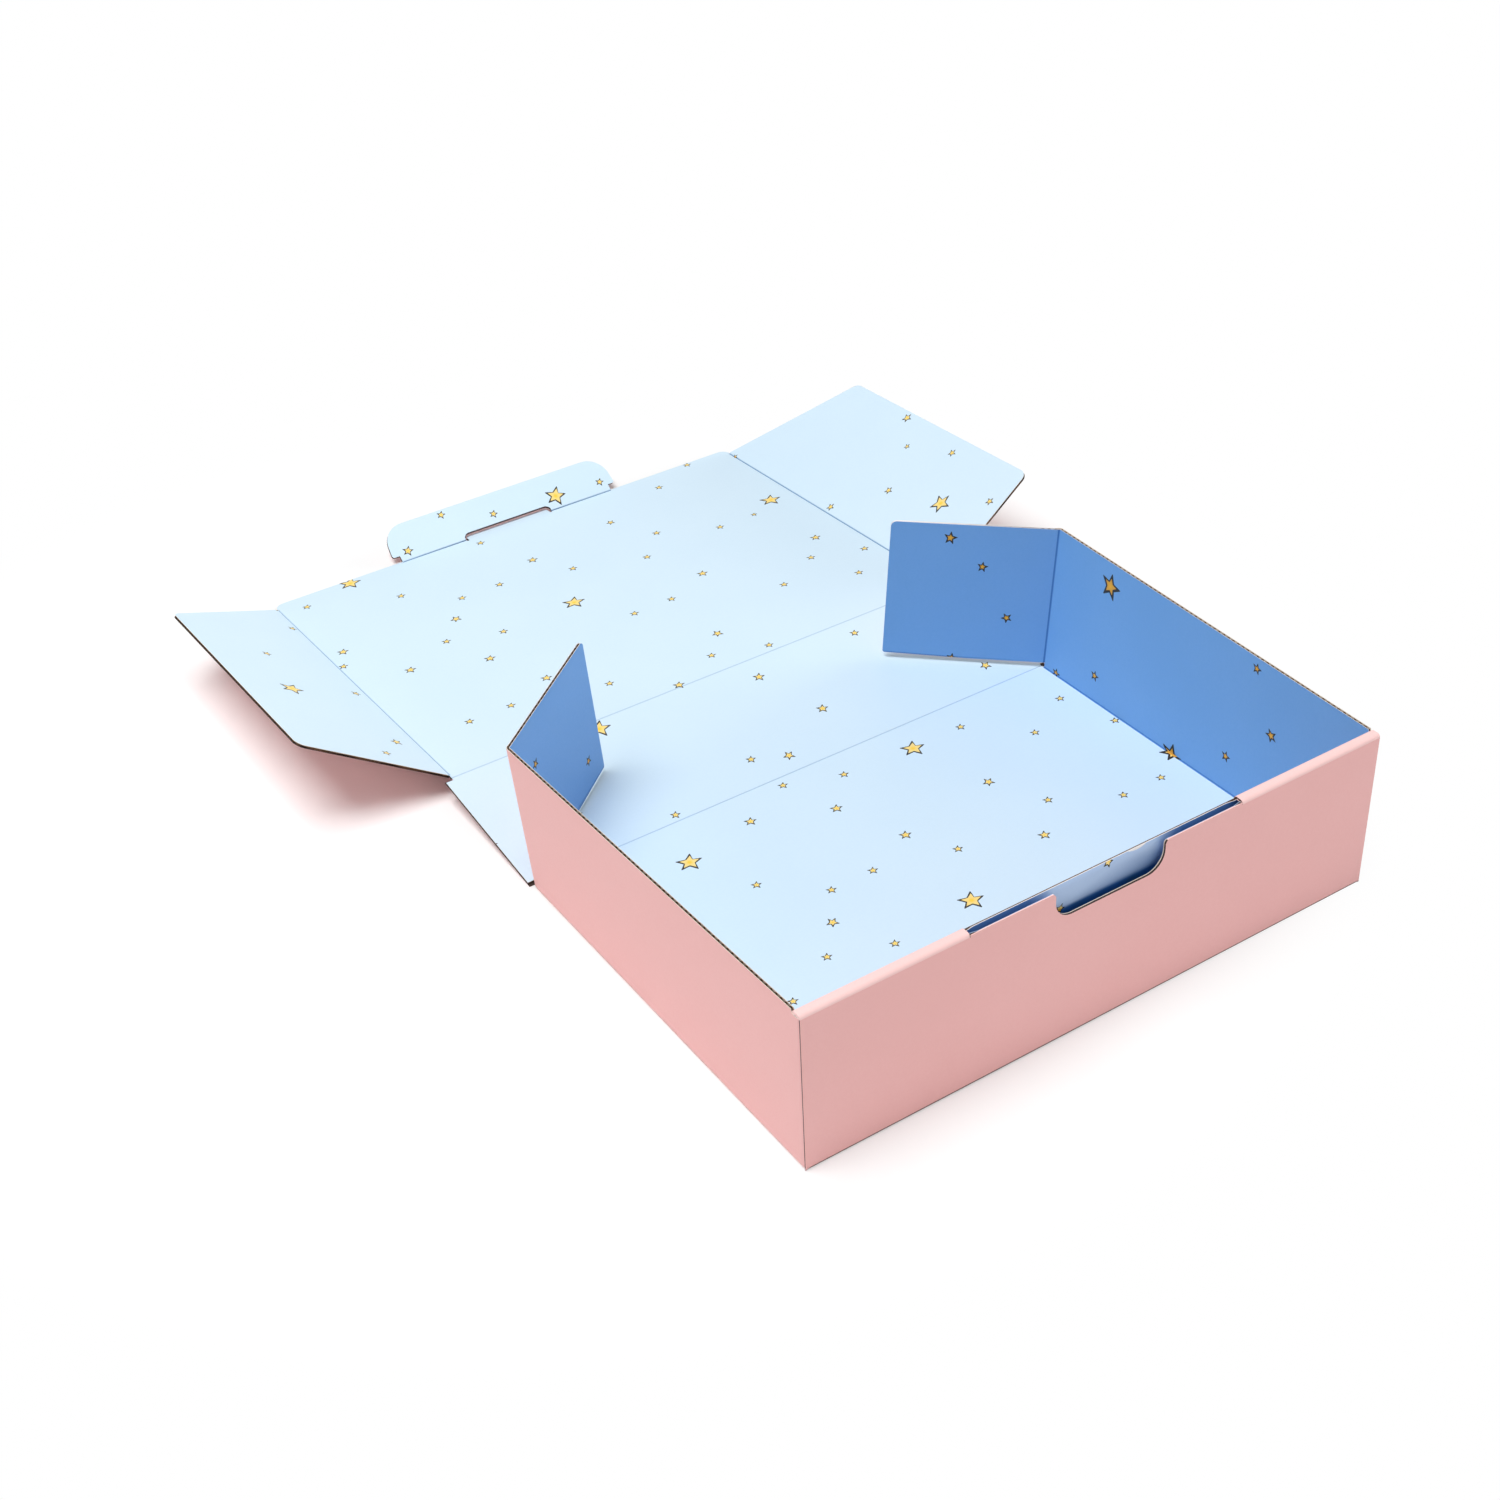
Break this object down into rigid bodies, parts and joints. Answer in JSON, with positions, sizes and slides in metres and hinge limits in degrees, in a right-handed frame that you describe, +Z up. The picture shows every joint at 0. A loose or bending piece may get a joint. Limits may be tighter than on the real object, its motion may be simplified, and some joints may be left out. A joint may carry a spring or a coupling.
{
  "type": "folding corrugated mailer box",
  "caption": "Open roll-over-front mailer box of thin corrugated board with a rear-hinged lid, side dust flaps, a tuck flap and a thumb notch.",
  "frame": {"origin": "centre of the tray's underside", "axes": "+X to the right along the front wall, +Y from the front wall to the rear, +Z up from the table"},
  "size_m": [0.4328, 0.5354, 0.0854],
  "materials": {
    "pink_board": "satin",
    "blue_board": "satin"
  },
  "bodies": {
    "tray": {"base_panel": "blue_board", "left_side_wall": "pink_board", "right_side_wall": "pink_board", "front_outer_wall": "pink_board", "front_inner_wall": "pink_board", "left_top_strip": "pink_board", "right_top_strip": "pink_board", "left_front_corner_flap": "pink_board", "right_front_corner_flap": "pink_board"},
    "rear_wall": {"rear_wall": "blue_board"},
    "lid": {"lid_panel": "blue_board"},
    "left_dust_flap": {"left_dust_flap": "blue_board"},
    "right_dust_flap": {"right_dust_flap": "blue_board"},
    "tuck_flap": {"tuck_flap": "blue_board"},
    "left_rear_corner_flap": {"left_rear_corner_flap": "blue_board"},
    "right_rear_corner_flap": {"right_rear_corner_flap": "blue_board"}
  },
  "joints": [
    {"name": "rear_wall_fold", "type": "hinge", "parent": "tray", "child": "rear_wall", "pos_m": [0, 0.10925, 0], "axis": [1, 0, 0], "range_deg": [0, 82.84]},
    {"name": "lid_fold", "type": "hinge", "parent": "rear_wall", "child": "lid", "pos_m": [0, 0.1916, 0.01035], "axis": [1, 0, 0], "range_deg": [0, 99.85]},
    {"name": "left_dust_flap_fold", "type": "hinge", "parent": "lid", "child": "left_dust_flap", "pos_m": [-0.148, 0.1916, 0.01035], "axis": [0, 0.9989, -0.047], "range_deg": [-31.2, 63.8]},
    {"name": "right_dust_flap_fold", "type": "hinge", "parent": "lid", "child": "right_dust_flap", "pos_m": [0.148, 0.1916, 0.01035], "axis": [0, -0.9989, 0.047], "range_deg": [-28.9, 66.1]},
    {"name": "tuck_flap_fold", "type": "hinge", "parent": "lid", "child": "tuck_flap", "pos_m": [0, 0.40791, 0.00016], "axis": [1, 0, 0], "range_deg": [-38.2, 49.1]},
    {"name": "left_rear_corner_flap_fold", "type": "hinge", "parent": "tray", "child": "left_rear_corner_flap", "pos_m": [-0.1482, 0.10745, 0], "axis": [0.0683, 0, -0.9977], "range_deg": [0, 124.6]},
    {"name": "right_rear_corner_flap_fold", "type": "hinge", "parent": "tray", "child": "right_rear_corner_flap", "pos_m": [0.1482, 0.10745, 0], "axis": [0.0838, 0, 0.9965], "range_deg": [0, 124.6]}
  ],
  "couplings": [
    {"joint": "left_rear_corner_flap_fold", "follows": "rear_wall_fold", "ratio": 1.5029},
    {"joint": "right_rear_corner_flap_fold", "follows": "rear_wall_fold", "ratio": 1.5029}
  ]
}
